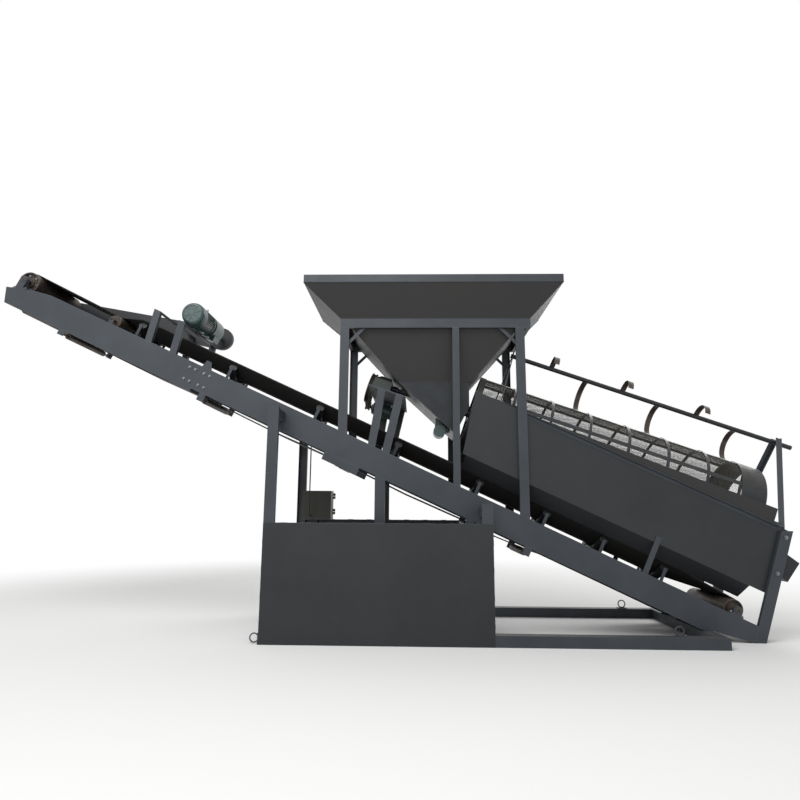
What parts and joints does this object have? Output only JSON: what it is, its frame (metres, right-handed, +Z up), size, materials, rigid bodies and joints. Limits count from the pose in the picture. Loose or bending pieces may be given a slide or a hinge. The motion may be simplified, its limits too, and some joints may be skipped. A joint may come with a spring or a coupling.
{
  "type": "sand screening machine",
  "caption": "Skid-mounted sand screening machine: feed hopper, rotary trommel screen and an inclined troughed belt conveyor on one welded frame.",
  "frame": {"origin": "on the ground under the middle of the machine's length and width", "axes": "+X along the machine from the conveyor's head to its tail, -Y the operator's side, +Z up"},
  "size_m": [8.25, 1.63, 3.6718],
  "materials": {
    "belt_rubber": "dusty matt",
    "green_paint": "machine enamel, satin",
    "grey_paint": "worn enamel",
    "light_steel": "worn grey enamel",
    "olive_paint": "enamel, satin",
    "panel_paint": "worn enamel, satin",
    "rusty_steel": "rusted"
  },
  "bodies": {
    "machine": {"belt_chain_case": "grey_paint", "belt_drive_stand": "grey_paint", "belt_motor": "green_paint", "belt_reducer": "green_paint", "cleaner_frames": "grey_paint", "cleaner_pipe": "light_steel", "cleaner_strips": "rusty_steel", "control_box": "olive_paint", "control_box_bracket": "olive_paint", "conveyor_bearings": "grey_paint", "conveyor_belt": "belt_rubber", "conveyor_cross_ties": "grey_paint", "conveyor_head_beams": "grey_paint", "conveyor_main_beams": "grey_paint", "corner_gussets": "grey_paint", "corner_posts": "grey_paint", "end_posts": "grey_paint", "feed_chute": "light_steel", "head_drum": "rusty_steel", "hopper_columns": "grey_paint", "hopper_flare": "grey_paint", "hopper_funnel": "grey_paint", "hopper_rim": "grey_paint", "hopper_ring_beam": "grey_paint", "housing_fillers": "grey_paint", "housing_lips": "grey_paint", "housing_plates": "grey_paint", "housing_skirts": "grey_paint", "housing_struts": "grey_paint", "idler_frames": "grey_paint", "idler_rolls": "rusty_steel", "lifting_rings": "grey_paint", "middle_posts": "grey_paint", "outlet_bearing": "grey_paint", "outlet_cross_bar": "grey_paint", "panel_top_rails": "grey_paint", "plain_rollers": "rusty_steel", "post_cross_beams": "grey_paint", "roller_hangers": "grey_paint", "screen_drive_belt": "belt_rubber", "screen_drive_deck": "grey_paint", "screen_drive_stand": "grey_paint", "screen_gearbox": "green_paint", "screen_motor": "green_paint", "side_panels": "panel_paint", "skid_cross_members": "grey_paint", "skid_rails": "grey_paint", "splice_plates": "grey_paint", "stone_chute": "light_steel", "supply_cable": "grey_paint", "tail_drum": "rusty_steel", "vibrator": "green_paint"},
    "screen": {"screen_mesh": "rusty_steel", "screen_hoops": "grey_paint", "screen_bars": "grey_paint", "screen_shaft": "grey_paint", "shaft_hubs": "grey_paint"},
    "input_pulley": {"gearbox_pulley": "light_steel"},
    "drive_pulley": {"motor_pulley": "light_steel"},
    "door": {"control_box_door": "olive_paint"}
  },
  "joints": [
    {"name": "screen_spin", "type": "hinge", "parent": "machine", "child": "screen", "pos_m": [0.745, 0, 2.188], "axis": [0.9458, 0, -0.3247], "continuous": true},
    {"name": "input_pulley_spin", "type": "hinge", "parent": "machine", "child": "input_pulley", "pos_m": [-0.31162, 0.08, 2.49793], "axis": [0.9458, 0, -0.3247], "continuous": true},
    {"name": "drive_pulley_spin", "type": "hinge", "parent": "machine", "child": "drive_pulley", "pos_m": [-0.36358, 0.362, 2.3466], "axis": [0.9458, 0, -0.3247], "continuous": true},
    {"name": "control_box_door_hinge", "type": "hinge", "parent": "machine", "child": "door", "pos_m": [-0.776, 0.805, 1.2], "axis": [0, 0, -1], "range_deg": [0, 110]}
  ],
  "couplings": [
    {"joint": "input_pulley_spin", "follows": "screen_spin", "ratio": 30},
    {"joint": "drive_pulley_spin", "follows": "screen_spin", "ratio": 99}
  ]
}
